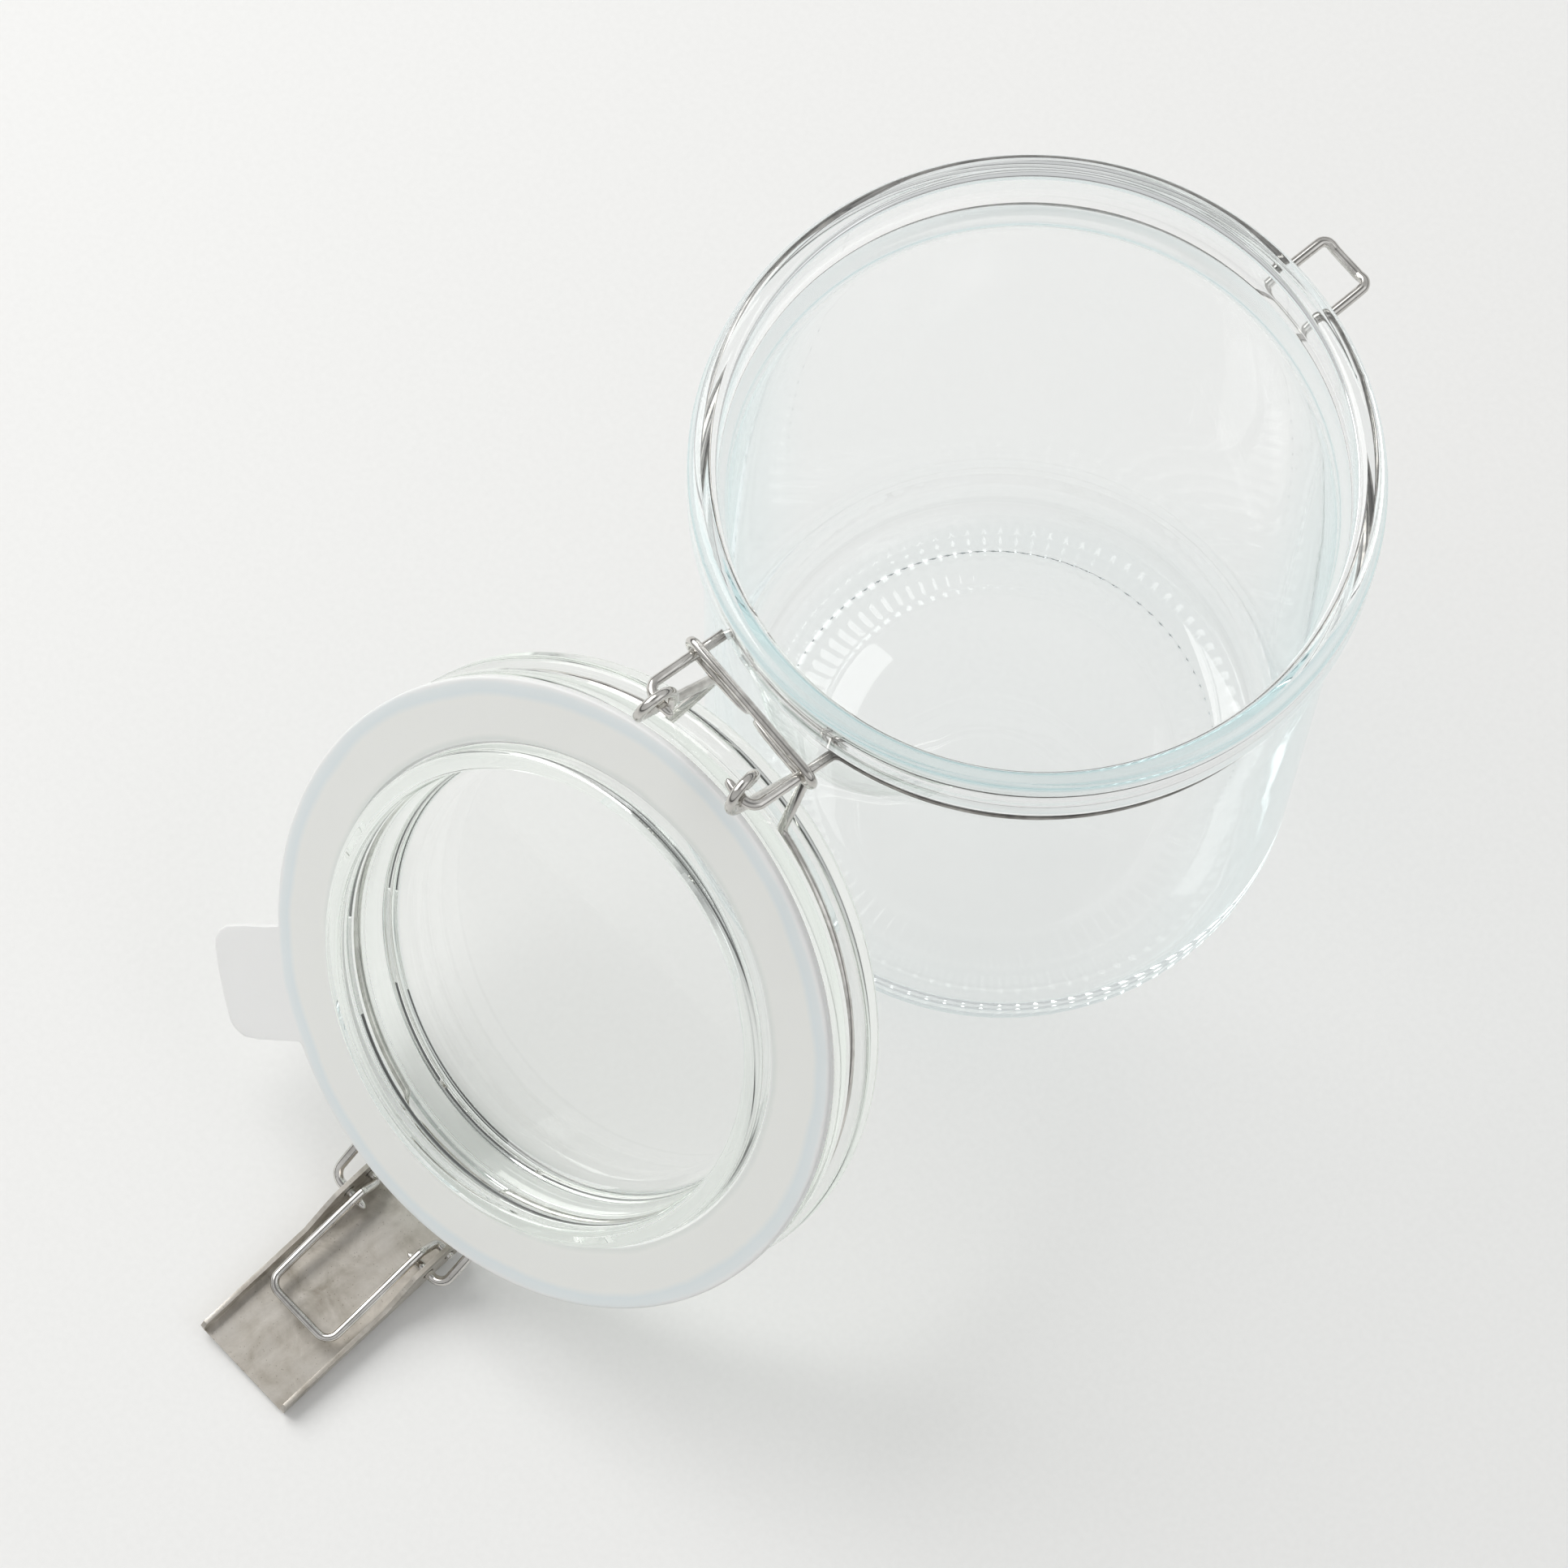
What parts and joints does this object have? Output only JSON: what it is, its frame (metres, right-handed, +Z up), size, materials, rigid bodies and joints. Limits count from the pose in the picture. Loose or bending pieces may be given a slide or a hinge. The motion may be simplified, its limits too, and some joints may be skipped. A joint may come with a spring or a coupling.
{
  "type": "lidded canister",
  "caption": "Round clear glass canister with a wire-hinged glass lid, a flat sealing ring with a pull tab and an over-centre lever latch, shown open.",
  "frame": {"origin": "centre of the open canister's bounding box on the table plane", "axes": "+Z up along the jar's axis, -Y towards the catch, +Y towards the hinge and the hanging lid, +X along the hinge"},
  "size_m": [0.1062, 0.2299, 0.1277],
  "materials": {
    "clear_glass": "clear pressed glass, faint blue-green in the thick parts",
    "lid_glass": "clear pressed glass, faint green at the edges",
    "stainless_wire": "bright drawn stainless wire",
    "stainless_sheet": "satin stainless sheet",
    "silicone": "translucent off-white silicone"
  },
  "bodies": {
    "jar": {"glass_jar": "clear_glass", "neck_wire": "stainless_wire", "hinge_link": "stainless_wire"},
    "lid": {"glass_lid": "lid_glass", "gasket": "silicone", "lid_wire_left": "stainless_wire", "lid_wire_right": "stainless_wire"},
    "lever": {"latch_lever": "stainless_sheet"},
    "bail_loop": {"bail": "stainless_wire"}
  },
  "joints": [
    {"name": "lid_hinge", "type": "hinge", "parent": "jar", "child": "lid", "pos_m": [0.00014, 0.01404, 0.1167], "axis": [0.9987, 0.0343, 0.038], "range_deg": [0, 231.26]},
    {"name": "lever_pivot", "type": "hinge", "parent": "lid", "child": "lever", "pos_m": [-0.0018, 0.08179, 0.00636], "axis": [-0.9957, -0.0854, -0.0349], "range_deg": [-41.6, 110]},
    {"name": "bail_pivot", "type": "hinge", "parent": "lever", "child": "bail_loop", "pos_m": [-0.0014, 0.07719, 0.0062], "axis": [0.9957, 0.0854, 0.0349], "range_deg": [0, 10]}
  ]
}
